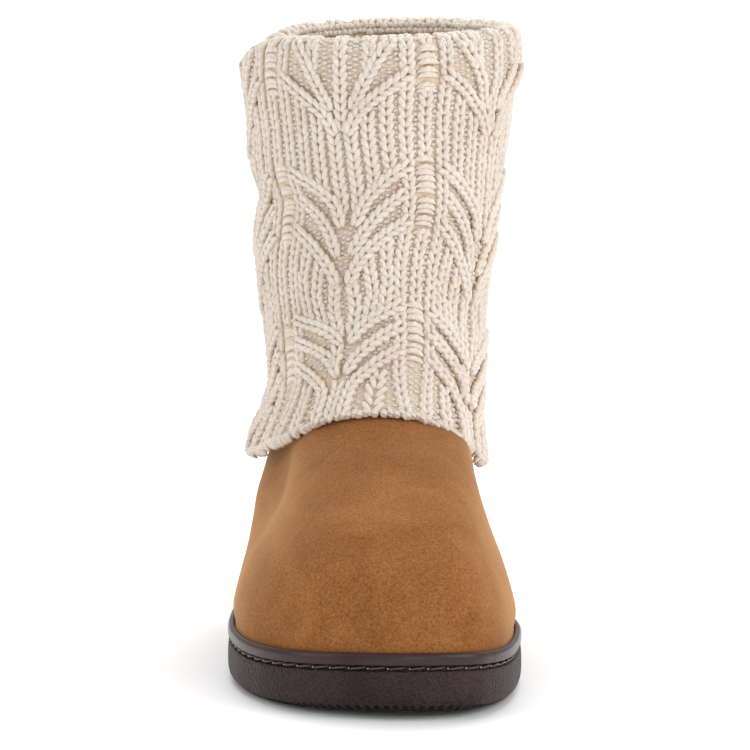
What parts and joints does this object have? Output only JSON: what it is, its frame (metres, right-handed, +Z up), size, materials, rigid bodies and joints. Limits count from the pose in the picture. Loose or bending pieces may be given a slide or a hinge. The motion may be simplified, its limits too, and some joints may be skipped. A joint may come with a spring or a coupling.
{
  "type": "slipper boot",
  "caption": "Pull-on slipper boot for the right foot: suede foot on a moulded cup sole, with a cable-knit shaft folded over at the top.",
  "frame": {"origin": "on the floor, under the middle of the sole", "axes": "+Z up, toe towards -Y, heel towards +Y, inner side of the right foot towards +X"},
  "size_m": [0.1071, 0.264, 0.2264],
  "materials": {
    "sole_rubber": "moulded dark brown rubber with a fine leather grain on the side, a smooth lip and a sunk stitch channel",
    "footbed_fleece": "short cream fleece over foam",
    "suede": "soft tan faux suede with a short mottled nap",
    "knit_wool": "chunky cream yarn, plied and slightly hairy, knitted in cables and ribs"
  },
  "bodies": {
    "root": {"outsole": "sole_rubber", "insole": "footbed_fleece", "upper": "suede", "shaft": "knit_wool"}
  },
  "joints": []
}
